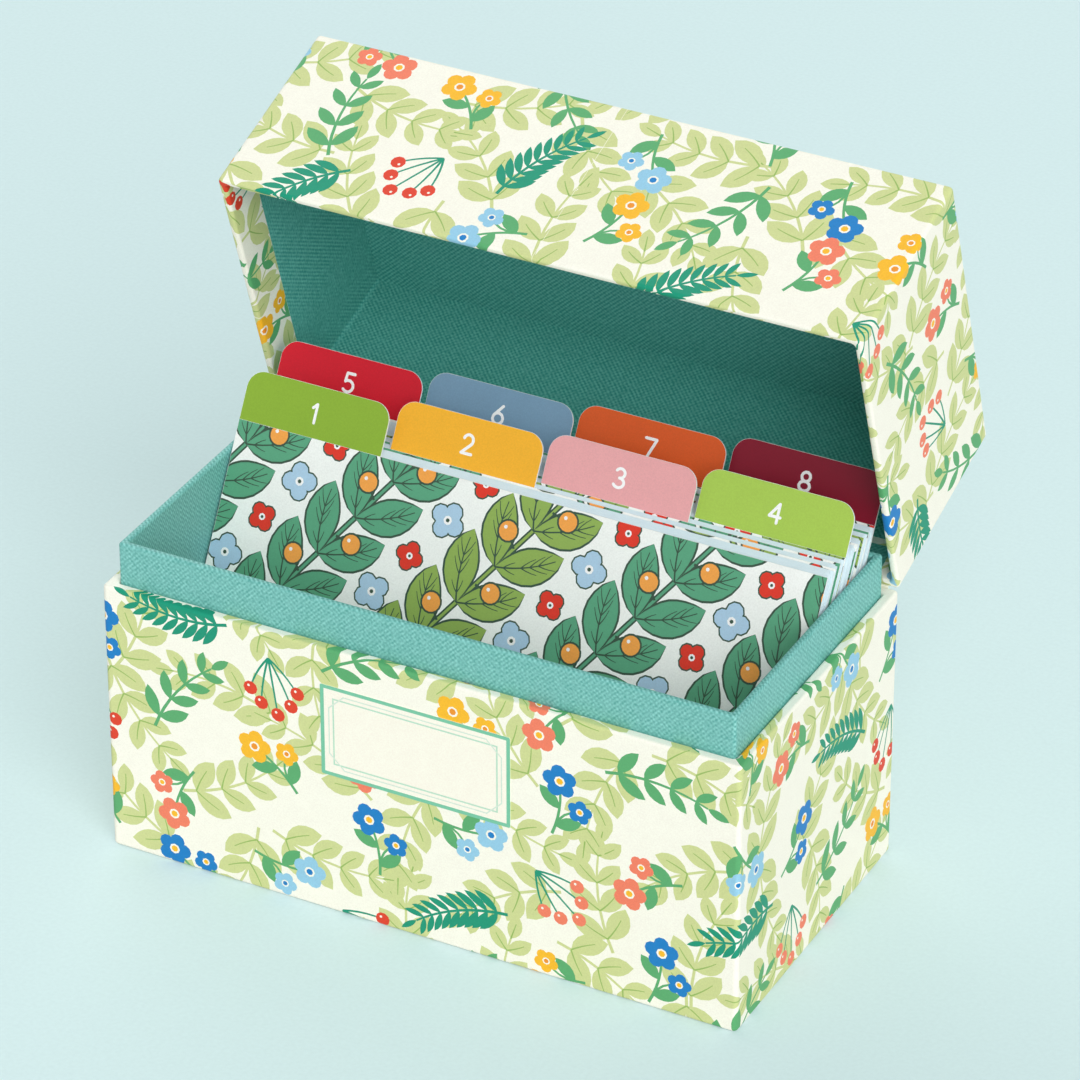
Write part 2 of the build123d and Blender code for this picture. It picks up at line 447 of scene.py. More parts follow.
def small_flower(ink, x, y, angle, radius):
    """Four round petals with a dark heart and a dark outline."""
    ring = 0.55 * radius
    drawing = petals("dark", x, y, angle, 4, ring, radius * 0.5 + 0.4)
    drawing += petals(ink, x, y, angle, 4, ring, radius * 0.5)
    return drawing + disc("white", x, y, radius * 0.26, 8) + disc("dark", x, y, radius * 0.12, 6)


def branches(width, height, seed):
    """A bold drawing that covers a divider from -width / 2, 0."""
    rng = random.Random(seed)
    slant = BRANCH_SLANT if seed % 2 else pi - BRANCH_SLANT
    across = BRANCH_SPACING / sin(slant)
    drift = (height + BRANCH_LEAF) / tan(slant)
    first = -width / 2 - max(drift, 0.0) - rng.uniform(0, across)
    count = ceil((width + abs(drift)) / across) + 2
    steps = 2 * ceil((height + 2 * BRANCH_LEAF) / sin(slant) / BRANCH_STEP / 2) + 1
    drawing = []
    for number in range(count):
        x = first + number * across
        along = rng.uniform(0, 2 * BRANCH_STEP)
        start_x, start_y = x - along * cos(slant), -along * sin(slant)
        ink = "fern" if number % 3 else "leaf"
        drawing += branch(ink, start_x, start_y, slant, steps)
        for i in range(1, steps):
            px = start_x + across / 2 + i * 2 * BRANCH_STEP * cos(slant)
            py = start_y + i * 2 * BRANCH_STEP * sin(slant)
            ink, radius = FLOWERS[i % 2]
            drawing += small_flower(ink, px, py, rng.uniform(0, 1.5), radius)
    return drawing


DIGIT_HEIGHT = 4.6
DIGIT_PEN = 0.16  # as a share of the height
DIGIT_FIELD = 1.6  # the height in which the pen's paths are given; the width is 1


def bow(x, y, wide, tall, start_deg, turn_deg):
    """Points of an oval's arc about x, y."""
    steps = 10
    turns = [radians(start_deg + turn_deg * i / steps) for i in range(steps + 1)]
    return [(x + wide / 2 * cos(a), y + tall / 2 * sin(a)) for a in turns]


# The pen's path for each number
DIGIT_LINES = {
    1: [[(0.2, 1.25), (0.55, 1.6), (0.55, 0.0)]],
    2: [bow(0.5, 1.13, 0.88, 0.94, 165, -205) + [(0.05, 0.0), (1.0, 0.0)]],
    3: [bow(0.46, 1.2, 0.84, 0.8, 150, -240), bow(0.46, 0.41, 0.98, 0.82, 90, -240)],
    4: [[(0.75, 0.0), (0.75, 1.6), (0.0, 0.5), (1.0, 0.5)]],
    5: [[(0.92, 1.6), (0.2, 1.6), (0.14, 0.86)] + bow(0.46, 0.5, 1.0, 1.0, 130, -270)],
    6: [[(0.8, 1.6)] + bow(0.5, 0.48, 0.96, 0.96, 155, 360)],
    7: [[(0.0, 1.6), (1.0, 1.6), (0.4, 0.0)]],
    8: [bow(0.5, 1.2, 0.78, 0.8, 0, 360), bow(0.5, 0.41, 0.98, 0.82, 0, 360)],
}


def digit(number, x, y):
    """A plain white number, drawn with a round pen, centred at x, y."""
    scale, pen = DIGIT_HEIGHT / DIGIT_FIELD, DIGIT_HEIGHT * DIGIT_PEN
    drawing = []
    for path in DIGIT_LINES[number]:
        points = [
            (x + (px - 0.5) * scale, y + (py - DIGIT_FIELD / 2) * scale) for px, py in path
        ]
        for (ax, ay), (bx, by) in zip(points, points[1:]):
            heading = atan2(by - ay, bx - ax)
            drawing += ribbon("white", [(ax, ay, heading), (bx, by, heading)], pen)
        for px, py in points:
            drawing += disc("white", px, py, pen / 2, 8)
    return drawing


# ----- cutting and folding sheets
CLOSENESS = 1e-4  # points of a drawing this near each other are one
LAYOUT_GAP = 4.0  # between the sheets of a piece's flat layout


def topmost(middles, drawing):
    """For each point, the number of the last outline round it, or -1."""
    order = np.argsort(middles[:, 0])
    in_order = middles[order, 0]
    top = np.full(len(middles), -1)
    for number, (_, polygon) in enumerate(drawing):
        corners = np.array(polygon)
        (left, bottom), (right, over) = corners.min(0), corners.max(0)
        first, last = np.searchsorted(in_order, (left, right))
        near = order[first:last]
        near = near[(middles[near, 1] > bottom) & (middles[near, 1] < over)]
        x, y = middles[near, :1], middles[near, 1:]
        (ax, ay), (bx, by) = corners.T, np.roll(corners, -1, 0).T
        rise = np.where(by == ay, 1.0, by - ay)
        # a point is inside if the way to its right passes an odd number of edges
        passed = ((ay > y) != (by > y)) & (x < ax + (y - ay) * (bx - ax) / rise)
        top[near[passed.sum(1) % 2 == 1]] = number
    return top


def triangulate(outline, lines, drawing, ground="ground"):
    """Cuts a flat outline along lines and prints. Each triangle has its topmost ink."""
    points, edges, faces = [], [], []

    def add(polygon):
        start = len(points)
        points.extend(Vector(p) for p in polygon)
        return list(range(start, start + len(polygon)))

    faces.append(add(outline))
    for ends in lines:
        edges.append(tuple(add(ends)))
    for _, polygon in drawing:
        faces.append(add(polygon))
    made = geometry.delaunay_2d_cdt(points, edges, faces, 0, CLOSENESS, True)
    corners = np.array([tuple(v) for v in made[0]])
    # the lists of origins tell which triangles are inside the outline, which is number 0
    triangles = [tuple(face) for face, origins in zip(made[2], made[5]) if 0 in origins]
    top = topmost(corners[np.array(triangles)].mean(1), drawing)
    return corners, triangles, [drawing[i][0] if i >= 0 else ground for i in top]


class Cut:
    """Collects the faces of one piece of paper: corners, faces, inks and flat places.

    On the piece's flat layout, size millimetres, a sheet's front lies below its back.
    """

    def __init__(self, size):
        self.points, self.faces, self.inks, self.flat = [], [], [], []
        self.size = size

    def add(self, points, faces, inks, flat):
        start = len(self.points)
        self.points += [tuple(p) for p in points]
        self.faces += [tuple(start + i for i in face) for face in faces]
        self.inks += inks
        self.flat += [[tuple(flat[i]) for i in face] for face in faces]
        return start


def boundary_of(faces):
    """The edges that belong to one face only, each as that face goes round."""
    once = {}
    for face in faces:
        for edge in zip(face, face[1:] + face[:1]):
            if once.pop(edge[::-1], None) is None:
                once[edge] = True
    return list(once)


def cut_sheet(
    outline, lines, drawing, place, thickness, skip=None, bare=("ground", "ground", "ground")
):
    """Both sides of a sheet and its edges, as a Cut. place(points, depth) folds it.

    skip(a, b) is true for an edge of the outline that is joined to something else instead.
    bare holds the inks of the unprinted front, the edges and the back.
    """
    ground, edge, back = bare
    first, last = np.min(outline, 0), np.max(outline, 0)
    wide, tall = last - first + LAYOUT_GAP
    cut = Cut((wide, 2 * tall))
    flat, faces, inks = triangulate(outline, lines, drawing, ground)
    rear_flat, rear_faces, _ = triangulate(outline, lines, [])
    start = cut.add(place(flat, 0.0), faces, inks, flat - first)
    rear_faces = [face[::-1] for face in rear_faces]
    rear_start = cut.add(
        place(rear_flat, thickness), rear_faces, [back] * len(rear_faces),
        rear_flat - first + (0.0, tall),
    )
    rear_at = {tuple(np.round(p, 2)): i for i, p in enumerate(rear_flat)}
    for a, b in boundary_of(faces):
        if skip and skip(flat[a], flat[b]):
            continue
        rear_a = rear_at[tuple(np.round(flat[a], 2))]
        rear_b = rear_at[tuple(np.round(flat[b], 2))]
        cut.faces.append((start + b, start + a, rear_start + rear_a, rear_start + rear_b))
        cut.inks.append(edge)
        at_a, at_b = tuple(flat[a] - first), tuple(flat[b] - first)
        cut.flat.append([at_b, at_a, at_a, at_b])
    return cut


def mesh_piece(name, cut, materials):
    """Makes the object. Its map OFBake is the flat layout."""
    mesh = bpy.data.meshes.new(name)
    mesh.from_pydata([tuple(c * MM for c in p) for p in cut.points], [], cut.faces)
    names = list(materials)
    for key in names:
        mesh.materials.append(materials[key])
    mesh.polygons.foreach_set("material_index", [names.index(ink) for ink in cut.inks])
    layer = mesh.uv_layers.new(name="OFBake")
    places = np.array([p for face in cut.flat for p in face]) / np.array(cut.size)
    layer.data.foreach_set("uv", places.astype(np.float32).ravel())
    work = bmesh.new()
    work.from_mesh(mesh)
    bmesh.ops.remove_doubles(work, verts=work.verts, dist=1e-6)
    work.to_mesh(mesh)
    work.free()
    return new_object(name, mesh)


def quarter(start, centre, straight):
    """Section points after start on a quarter circle, all with the same straight inset."""
    dx, dz = start[0] - centre[0], start[1] - centre[1]
    made = []
    for i in range(1, RIM_STEPS + 1):
        angle = -pi / 2 * i / RIM_STEPS
        c, s = cos(angle), sin(angle)
        made.append((centre[0] + c * dx - s * dz, centre[1] + s * dx + c * dz, straight))
    return made


def lengths_along(path):
    """How far along a path each of its points is."""
    steps = np.linalg.norm(np.diff(path, axis=0), axis=1)
    return np.concatenate([[0.0], np.cumsum(steps)])


def mitred(points):
    """For each point of a path, the way to its right, longer where the path bends."""
    d = np.diff(points, axis=0)
    normals = np.stack([d[:, 1], -d[:, 0]], 1) / np.linalg.norm(d, axis=1)[:, None]
    before = np.vstack([normals[:1], normals])
    after = np.vstack([normals, normals[-1:]])
    return (before + after) / (1 + (before * after).sum(1))[:, None]


class Fold:
    """A sheet folded round a tray: its section goes round the tray's rounded outline.

    The section is a list of (inset, height, straight inset): a point of it follows an
    outline drawn in by inset, whose straight sides end at the straight inset.
    """

    def __init__(self, section):
        self.section = np.array(section)
        self.along = lengths_along(self.section[:, :2])
        self.height = self.along[-1]
        wide, deep = BOX_WIDTH - 2 * CORNER, BOX_DEPTH - 2 * CORNER
        bend = pi / 2 * CORNER
        self.lengths = [wide / 2, bend, deep, bend, wide, bend, deep, bend, wide / 2]
        self.starts = np.concatenate([[0.0], np.cumsum(self.lengths)])
        self.width = self.starts[-1]
        self.inward = mitred(self.section[:, :2])

    def bends(self):
        """How far along the sheet it is bent, at the upright corners."""
        return [
            self.starts[k] + self.lengths[k] * i / CORNER_STEPS
            for k in (1, 3, 5, 7) for i in range(CORNER_STEPS + 1)
        ]

    def lines(self):
        """Where the sheet is bent: across it at the corners and along it in the section."""
        across = [((u, 0.0), (u, self.height)) for u in self.bends()]
        return across + [((0.0, v), (self.width, v)) for v in self.along[1:-1]]

    def outline(self):
        return rectangle(0.0, 0.0, self.width, self.height)

    def place(self, flat, depth):
        """Sheet points in the tray's own place, depth inside its printed face.

        The sheet starts in the middle of the back and goes round by the left, the front
        and the right. Its parts are by turns straight sides and corners.
        """
        inset, z, straight = (
            np.interp(flat[:, 1], self.along, self.section[:, k]) for k in range(3)
        )
        inward, upward = (np.interp(flat[:, 1], self.along, self.inward[:, k]) for k in range(2))
        inset, z = inset + depth * inward, z + depth * upward
        half_x, half_y = BOX_WIDTH / 2 - straight, BOX_DEPTH / 2 - straight
        radius = straight - inset
        u = flat[:, 0]
        part = np.clip(np.searchsorted(self.starts, u, side="right") - 1, 0, 8)
        share = (u - self.starts[part]) / np.array(self.lengths)[part]
        sides = [part == k for k in (0, 2, 4, 6, 8)]
        x = np.select(sides, [
            -share * half_x, -half_x - radius, (2 * share - 1) * half_x, half_x + radius,
            (1 - share) * half_x,
        ])
        y = np.select(sides, [
            half_y + radius, (1 - 2 * share) * half_y, -half_y - radius,
            (2 * share - 1) * half_y, half_y + radius,
        ])
        # corners: behind left, front left, front right, behind right
        corner = np.clip((part - 1) // 2, 0, 3)
        corner_x = np.array([-1, -1, 1, 1])[corner]
        corner_y = np.array([1, -1, -1, 1])[corner]
        angle = pi / 2 * (1 + corner + share)
        turning = part % 2 == 1
        x = np.where(turning, corner_x * half_x + radius * np.cos(angle), x)
        y = np.where(turning, corner_y * half_y + radius * np.sin(angle), y)
        return np.stack([x, y, z], 1)

    def joins(self, a, b):
        """True for the edges where the sheet's two ends meet."""
        return (a[0] < 1e-3 and b[0] < 1e-3) or min(a[0], b[0]) > self.width - 1e-3


def wall_section(bottom, top, wall, turn_in):
    """The section from a bottom edge's round, up the outside, over the rim and down inside."""
    inside = wall + POCKET_CORNER
    return [
        *quarter((RIM, bottom), (RIM, bottom + RIM), CORNER),
        (0.0, top - RIM, CORNER),
        *quarter((0.0, top - RIM), (RIM, top - RIM), CORNER),
        (wall - RIM, top, inside),
        *quarter((wall - RIM, top), (wall - RIM, top - RIM), inside),
        (wall, top - turn_in, inside),
    ]


def lid_matrix():
    """From a tray standing on the lid's top to the open lid, in millimetres."""
    over = Matrix.Rotation(pi, 4, "X")
    lift = Matrix.Translation((0, 0, BASE_HEIGHT + RIM_GAP + LID_HEIGHT))
    to_line = Matrix.Translation(HINGE_LINE)
    opened = to_line @ Matrix.Rotation(-OPEN_ANGLE, 4, "X") @ to_line.inverted()
    return opened @ lift @ over


# ----- materials
# Colours are 8-bit, scales of noise are per metre, and distances are in metres.
SPECULAR = 0.3
UNCOATED, COATED = 0.5, 0.42  # roughness of printed papers
CLOUD_SCALE = 260.0
FIBRE_SCALE = 2600.0
INK_UNEVENNESS = 0.02
LINEN_PITCH = 0.00095  # from rib to rib
LINEN_SWAY_SCALE = 45.0
LINEN_SWAY = 5.0
LINEN_GRAIN_SCALE = 1500.0
LINEN_PATCH_SCALE = 300.0
LINEN_PATCH = 0.19
STREAK_SCALE = 2400.0
STREAK_STRETCH = 1 / 60
EDGE_LIMIT = 0.7  # a face whose normal's Y is less than this is an edge of a card


def linear(rgb):
    """An 8-bit colour as the renderer's numbers."""
    out = []
    for c in rgb:
        c /= 255
        out.append(c / 12.92 if c <= 0.04045 else ((c + 0.055) / 1.055) ** 2.4)
    return (*out, 1.0)


def shaded(rgb, factor):
    return tuple(min(255, c * factor) for c in rgb)


class Tree:
    """The nodes of a material or of the world, with short ways to add to them."""

    def __init__(self, owner):
        owner.use_nodes = True
        self.nodes, self.links = owner.node_tree.nodes, owner.node_tree.links

    def add(self, kind, inputs):
        """A new node's outputs. Its inputs are numbers, vectors or other nodes' outputs."""
        node = self.nodes.new(kind)
        for key, value in inputs.items():
            if isinstance(value, bpy.types.NodeSocket):
                self.links.new(value, node.inputs[key])
            else:
                node.inputs[key].default_value = value
        return node.outputs

    def calc(self, operation, *values):
        """Arithmetic on numbers and other nodes' outputs."""
        result = self.add("ShaderNodeMath", dict(enumerate(values)))[0]
        result.node.operation = operation
        return result

    def plus(self, a, b):
        return self.calc("ADD", a, b)

    def times(self, a, b):
        return self.calc("MULTIPLY", a, b)

    def seen_directly(self):
        """1 for what is seen, also in a mirror or through glass, and 0 for other light."""
        path = self.add("ShaderNodeLightPath", {})
        seen = self.calc("MAXIMUM", path["Is Camera Ray"], path["Is Glossy Ray"])
        return self.calc("MAXIMUM", seen, path["Is Transmission Ray"])

    def mixed_shader(self, factor, first, second):
        inputs = {0: factor, 1: first.outputs[0], 2: second.outputs[0]}
        return self.add("ShaderNodeMixShader", inputs)[0]


class Surface(Tree):
    """A new material, with its shader and its object coordinates."""

    def __init__(self, name, roughness):
        self.material = bpy.data.materials.new(name)
        super().__init__(self.material)
        self.shader = self.nodes["Principled BSDF"]
        self.shader.inputs["Roughness"].default_value = roughness
        self.shader.inputs["Specular IOR Level"].default_value = SPECULAR
        self.coordinates = self.add("ShaderNodeTexCoord", {})
        self.place = self.coordinates["Object"]

    def mapped(self, setting, value):
        """The object coordinates, turned or scaled."""
        inputs = {setting: value, "Vector": self.place}
        return self.add("ShaderNodeMapping", inputs)["Vector"]

    def parts(self, vector):
        """The X, Y and Z of a vector."""
        return self.add("ShaderNodeSeparateXYZ", {"Vector": vector})

    def noise(self, scale, detail, place=None):
        inputs = {"Scale": scale, "Detail": detail, "Vector": place or self.place}
        return self.add("ShaderNodeTexNoise", inputs)["Fac"]

    def spread(self, factor, low_at, high_at):
        """Stretches the part of a factor between two values to 0..1."""
        inputs = {"From Min": low_at, "From Max": high_at, "Value": factor}
        return self.add("ShaderNodeMapRange", inputs)["Result"]

    def tinted(self, factor, dark, light):
        """A colour between two, by a factor. The light one may be a node's output."""
        mix = self.nodes.new("ShaderNodeMix")
        mix.data_type = "RGBA"
        mix.inputs[6].default_value = linear(dark)
        if isinstance(light, tuple):
            mix.inputs[7].default_value = linear(light)
        else:
            self.links.new(light, mix.inputs[7])
        self.links.new(factor, mix.inputs[0])
        return mix.outputs[2]

    def coloured(self, colour):
        self.links.new(colour, self.shader.inputs["Base Color"])

    def bumped(self, height, strength, distance):
        inputs = {"Strength": strength, "Distance": distance, "Height": height}
        normal = self.add("ShaderNodeBump", inputs)["Normal"]
        self.links.new(normal, self.shader.inputs["Normal"])


def ink_material(name, rgb, roughness):
    """Printed paper: a slightly uneven ink over fine fibres."""
    new = Surface(name, roughness)
    cloud = new.noise(CLOUD_SCALE, 3.0)
    fibre = new.noise(FIBRE_SCALE, 2.0)
    factor = new.spread(new.plus(new.times(cloud, 0.2), new.times(fibre, 0.8)), 0.35, 0.65)
    dark, light = shaded(rgb, 1 - INK_UNEVENNESS), shaded(rgb, 1 + INK_UNEVENNESS)
    new.coloured(new.tinted(factor, dark, light))
    new.bumped(fibre, 0.18, 0.00006)
    return new.material


def ink_set(prefix, inks, roughness):
    return {ink: ink_material(f"{prefix}_{ink}", rgb, roughness) for ink, rgb in inks.items()}


def linen_material(name, dark, light, turn=0.0):
    """Teal paper embossed like linen: crossed ribs, with slubs and uneven threads."""
    new = Surface(name, UNCOATED)
    x, y, z = new.parts(new.mapped("Rotation", (turn, 0, 0)))
    sway = new.noise(LINEN_SWAY_SCALE, 2.0)
    ribs = []
    for along_y, along_z in ((1, 1), (1, -1), (-1, 1)):
        way = new.plus(x, new.times(y, along_y))
        way = new.plus(way, new.times(z, along_z))
        way = new.times(way, 2 * pi / LINEN_PITCH / sqrt(2))
        ribs.append(new.calc("SINE", new.plus(way, new.times(sway, LINEN_SWAY))))
    weave = new.plus(new.plus(ribs[0], ribs[1]), ribs[2])
    grain = new.noise(LINEN_GRAIN_SCALE, 3.0)
    patch = new.noise(LINEN_PATCH_SCALE, 2.0)
    height = new.plus(new.times(weave, new.times(patch, LINEN_PATCH)), grain)
    new.coloured(new.tinted(new.spread(height, 0.25, 0.8), dark, light))
    new.bumped(height, 0.35, 0.00012)
    return new.material


def fibre_material(name, dark, light, scale):
    """Plain board or paper: fibres and flecks."""
    new = Surface(name, 0.75)
    coarse = new.noise(scale, 6.0)
    new.coloured(new.tinted(new.spread(coarse, 0.3, 0.7), dark, light))
    new.bumped(coarse, 0.25, 0.0001)
    return new.material


def card_material(name, dark, light):
    """Card stock: an even face, and edges in which the separate sheets show as streaks."""
    new = Surface(name, 0.6)
    streaks = new.noise(STREAK_SCALE, 6.0, new.mapped("Scale", (STREAK_STRETCH, 1, 1)))
    fibre = new.noise(FIBRE_SCALE, 3.0)
    normal = new.parts(new.coordinates["Normal"])
    facing = new.calc("GREATER_THAN", new.calc("ABSOLUTE", normal["Y"]), EDGE_LIMIT)
    edge, face = new.spread(streaks, 0.3, 0.7), new.plus(new.times(fibre, 0.4), 0.4)
    factor = new.add("ShaderNodeMix", {0: facing, 2: edge, 3: face})[0]
    new.coloured(new.tinted(factor, dark, light))
    new.bumped(fibre, 0.15, 0.00006)
    return new.material


def dress(node, material):
    """Gives a CAD node its material."""
    piece = frame["nodes"][node]
    piece.data.materials.clear()
    piece.data.materials.append(material)


# ----- printed sheets on the boards

PRINT = ink_set("print", PRINT_INKS, UNCOATED)


def printed(drawing, width, height):
    """A drawing cut to a sheet's printed part."""
    edge = PRINT_MARGIN
    return fitted(drawing, (edge, edge, width - edge, height - edge))


def covered_walls(fold, seed, skip):
    """The walls of a covered tray, in the tray's own place."""
    size = (fold.width, fold.height)
    drawing = printed(tossed(*size, seed), *size)
    return cut_sheet(fold.outline(), fold.lines(), drawing, fold.place, SHEET, skip)


def base_cover():
    underneath = [(UNDERSIDE_TURN_IN, PAPER, UNDERSIDE_TURN_IN + RIM), (RIM, PAPER, CORNER)]
    walls = wall_section(PAPER, BASE_HEIGHT, BASE_WALL, BASE_TURN_IN)
    fold = Fold(underneath + walls)
    piece = mesh_piece("base_paper", covered_walls(fold, 11, fold.joins), PRINT)
    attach(piece, "base")
    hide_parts("base_wrap")


def top_drawing():
    """The print of the lid's top, as it lies on the tray turned upside down."""
    half_x, half_y = BOX_WIDTH / 2 - CORNER, BOX_DEPTH / 2 - CORNER
    drawing = moved(tossed(BOX_WIDTH, BOX_DEPTH, 37), -BOX_WIDTH / 2, -BOX_DEPTH / 2)
    drawing = fitted(drawing, (-half_x, -half_y, half_x, half_y))
    return [(ink, [(x, -y) for x, y in outline][::-1]) for ink, outline in drawing]


def lid_cover():
    walls = wall_section(0.0, LID_HEIGHT, LID_WALL, LID_TURN_IN)
    fold = Fold([(RIM, 0.0, CORNER), *walls])

    def joined(a, b):
        return fold.joins(a, b) or (a[1] < 1e-3 and b[1] < 1e-3)

    cut = covered_walls(fold, 23, joined)
    ring = np.array([(u, 0.0) for u in (0.0, *fold.bends())])
    wide, top_at = cut.size
    cut.size = (wide, top_at + BOX_DEPTH + LAYOUT_GAP)
    # the lid's top, outside and inside
    for depth, at in ((0.0, BOX_WIDTH / 2), (SHEET, 1.5 * BOX_WIDTH + LAYOUT_GAP)):
        rim = fold.place(ring, depth)
        outline = [(x, y) for x, y, _ in rim]
        outside = depth == 0.0
        points, faces, inks = triangulate(outline, [], top_drawing() if outside else [])
        if outside:
            faces = [face[::-1] for face in faces]
        placed = np.column_stack([points, np.full(len(points), rim[0][2])])
        cut.add(placed, faces, inks, points + np.array((at, top_at + BOX_DEPTH / 2)))
    matrix = np.array(lid_matrix())
    cut.points = [tuple(matrix[:3, :3] @ np.array(p) + matrix[:3, 3]) for p in cut.points]
    piece = mesh_piece("lid_paper", cut, PRINT)
    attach(piece, "lid")
    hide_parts("lid_wrap")


def strip_piece(name, path, length, thickness, drawing, materials, ink):
    """A strip along X that follows a path of (y, z) points, its shown face to the right."""
    path = np.array(path)
    along = lengths_along(path)
    outward = mitred(path)

    def place(flat, depth):
        v = flat[:, 1]
        y, z = (np.interp(v, along, path[:, k]) for k in range(2))
        ny, nz = (np.interp(v, along, outward[:, k]) for k in range(2))
        rise = thickness - depth
        return np.stack([length / 2 - flat[:, 0], y + rise * ny, z + rise * nz], 1)

    height = along[-1]
    outline = rectangle(0.0, 0.0, length, height)
    lines = [((0.0, v), (length, v)) for v in along[1:-1]]
    drawing = printed(drawing, length, height)
    depth = thickness - INNER_GAP / 2
    cut = cut_sheet(outline, lines, drawing, place, depth, bare=(ink,) * 3)
    return mesh_piece(name, cut, materials)


def opened(y, z):
    """Where a point of the shut lid's section, from the hinge line, is at rest."""
    c, s = cos(OPEN_ANGLE), sin(OPEN_ANGLE)
    return (HINGE_LINE.y + y * c + z * s, HINGE_LINE.z - y * s + z * c)


def bend_with_lid(piece):
    """Bakes the strip's place into its mesh; nothing joins it to the base or the lid."""
    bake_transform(piece)


def hinge_strips(linen):
    """The outer strip, creased along the hinge line, and the inner one, drawn tight."""
    y, z = HINGE_LINE.y, HINGE_LINE.z
    path = [
        (y, z - HINGE_LEG), (y, z - CREASE), (y, z), opened(0, CREASE), opened(0, HINGE_LEG),
    ]
    length = width_of("hinge_strip")
    drawing = tossed(length, 2 * HINGE_LEG, 5)
    outer = strip_piece("hinge_strip_paper", path, length, PAPER, drawing, PRINT, "ground")
    bend_with_lid(outer)
    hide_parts("hinge_strip")

    behind = BASE_WALL + (COLLAR_GAP - INNER_HINGE_THICKNESS) / 2
    base_end = (y - behind, BASE_HEIGHT + RIM_GAP)
    lid_end = opened(-LID_WALL, RIM_GAP)
    between = [
        tuple(a + (b - a) * i / INNER_HINGE_STEPS for a, b in zip(lid_end, base_end))
        for i in range(1, INNER_HINGE_STEPS)
    ]
    path = [
        opened(-LID_WALL, INNER_HINGE_LEG), lid_end, *between, base_end,
        (base_end[0], BASE_HEIGHT - INNER_HINGE_LEG),
    ]
    length = width_of("hinge_liner")
    # The inner strip takes the lid's darker teal linen copy: painted shade.
    inner = strip_piece(
        "hinge_liner_paper", path, length, INNER_HINGE_THICKNESS, [], {"linen": linen}, "linen"
    )
    bend_with_lid(inner)
    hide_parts("hinge_liner")


# ----- dividers and label
TAB_STEPS = 8
LABEL_STEPS = 4
DIGIT_PLACE = 0.47  # the number's height on the tab, as a share of the tab's


def rounded_corner(x, y, radius, start, steps):
    """Points of a quarter circle about x, y, anticlockwise from an angle."""
    angles = [start + pi / 2 * i / steps for i in range(steps + 1)]
    return [(x + radius * cos(a), y + radius * sin(a)) for a in angles]


def tab_outline(left, right, bottom, top, radius):
    """A tab: square below, round above, anticlockwise from its lower left."""
    return [
        (left, bottom), (right, bottom),
        *rounded_corner(right - radius, top - radius, radius, 0.0, TAB_STEPS),
        *rounded_corner(left + radius, top - radius, radius, pi / 2, TAB_STEPS),
    ]


def divider(number):
    """A divider with its print, in place of the CAD's plain one."""
    node = f"divider_{number}"
    _, sin_lean, cos_lean = joint_named(node + "_lift")["axis"]
    near, far = corners_of(node)
    half = (far.x - near.x) / 2
    foot = np.array((0.0, near.y, near.z + DIVIDER_THICKNESS * sin_lean))
    along = np.array((1.0, 0.0, 0.0))
    up = np.array((0.0, sin_lean, cos_lean))
    front = np.array((0.0, -cos_lean, sin_lean))
    tall = (far.z - foot[2]) / cos_lean
    body = tall - TAB_HEIGHT
    position = (number - 1) % TABS_IN_ROW
    last = position == TABS_IN_ROW - 1
    pitch = 2 * half / TABS_IN_ROW
    left = position * pitch - half
    right = left + pitch - (0.0 if last else TAB_GAP)
    outline = [(-half, 0.0), (half, 0.0)]
    if not last:
        outline += [(half, body), (right, body)]
    outline += tab_outline(left, right, body, tall, TAB_RADIUS)[2:]
    if position > 0:
        outline += [(left, body), (-half, body)]
    edge = PRINT_MARGIN
    drawing = fitted(
        branches(2 * half, body, 60 + number), (-half + edge, edge, half - edge, body - edge)
    )
    colour = tab_outline(left + edge, right - edge, body, tall - edge, TAB_RADIUS - edge)
    drawing.append(("tab", colour))
    drawing += digit(number, (left + right) / 2, body + TAB_HEIGHT * DIGIT_PLACE)

    def place(flat, depth):
        return foot + flat[:, :1] * along + flat[:, 1:] * up - depth * front

    bare = ("ground", "edge", "back")
    cut = cut_sheet(outline, [], drawing, place, DIVIDER_THICKNESS, bare=bare)
    tab = ink_material(f"tab_{number}", TAB_INKS[number - 1], COATED)
    piece = mesh_piece(f"divider_{number}_print", cut, {**DIVIDER_PRINT, "tab": tab})
    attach(piece, node + "_body")
    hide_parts(node)


LABEL_INKS = {
    "ground": (254, 249, 234),
    "border": (122, 200, 166),
    "line": (186, 224, 200),
    "faint": (214, 232, 216),
}
LABEL_BORDER = 1.0
LABEL_LINE = (3.5, 0.42)  # inset and width of the rectangle
LABEL_FAINT = (2.3, 0.34)  # and of the line whose corners are cut off
LABEL_CUT = 4.0


def frame_line(ink, corners, width):
    """A closed line through corners."""
    drawing = []
    for (ax, ay), (bx, by) in zip(corners, corners[1:] + corners[:1]):
        heading = atan2(by - ay, bx - ax)
        reach = width / 2
        ax, ay = ax - reach * cos(heading), ay - reach * sin(heading)
        bx, by = bx + reach * cos(heading), by + reach * sin(heading)
        drawing += ribbon(ink, [(ax, ay, heading), (bx, by, heading)], width)
    return drawing


def label_drawing(half_x, half_y):
    """A border, a fine rectangle, and fine lines whose corners are cut off across it."""
    x, y = half_x - LABEL_BORDER, half_y - LABEL_BORDER
    drawing = [("ground", rectangle(-x, -y, x, y))]
    inset, width = LABEL_LINE
    x, y = half_x - inset, half_y - inset
    drawing += frame_line("line", rectangle(-x, -y, x, y), width)
    inset, width = LABEL_FAINT
    x, y, cut = half_x - inset, half_y - inset, LABEL_CUT
    octagon = [
        (-x, -y + cut), (-x + cut, -y), (x - cut, -y), (x, -y + cut),
        (x, y - cut), (x - cut, y), (-x + cut, y), (-x, y - cut),
    ]
    return drawing + frame_line("faint", octagon, width)


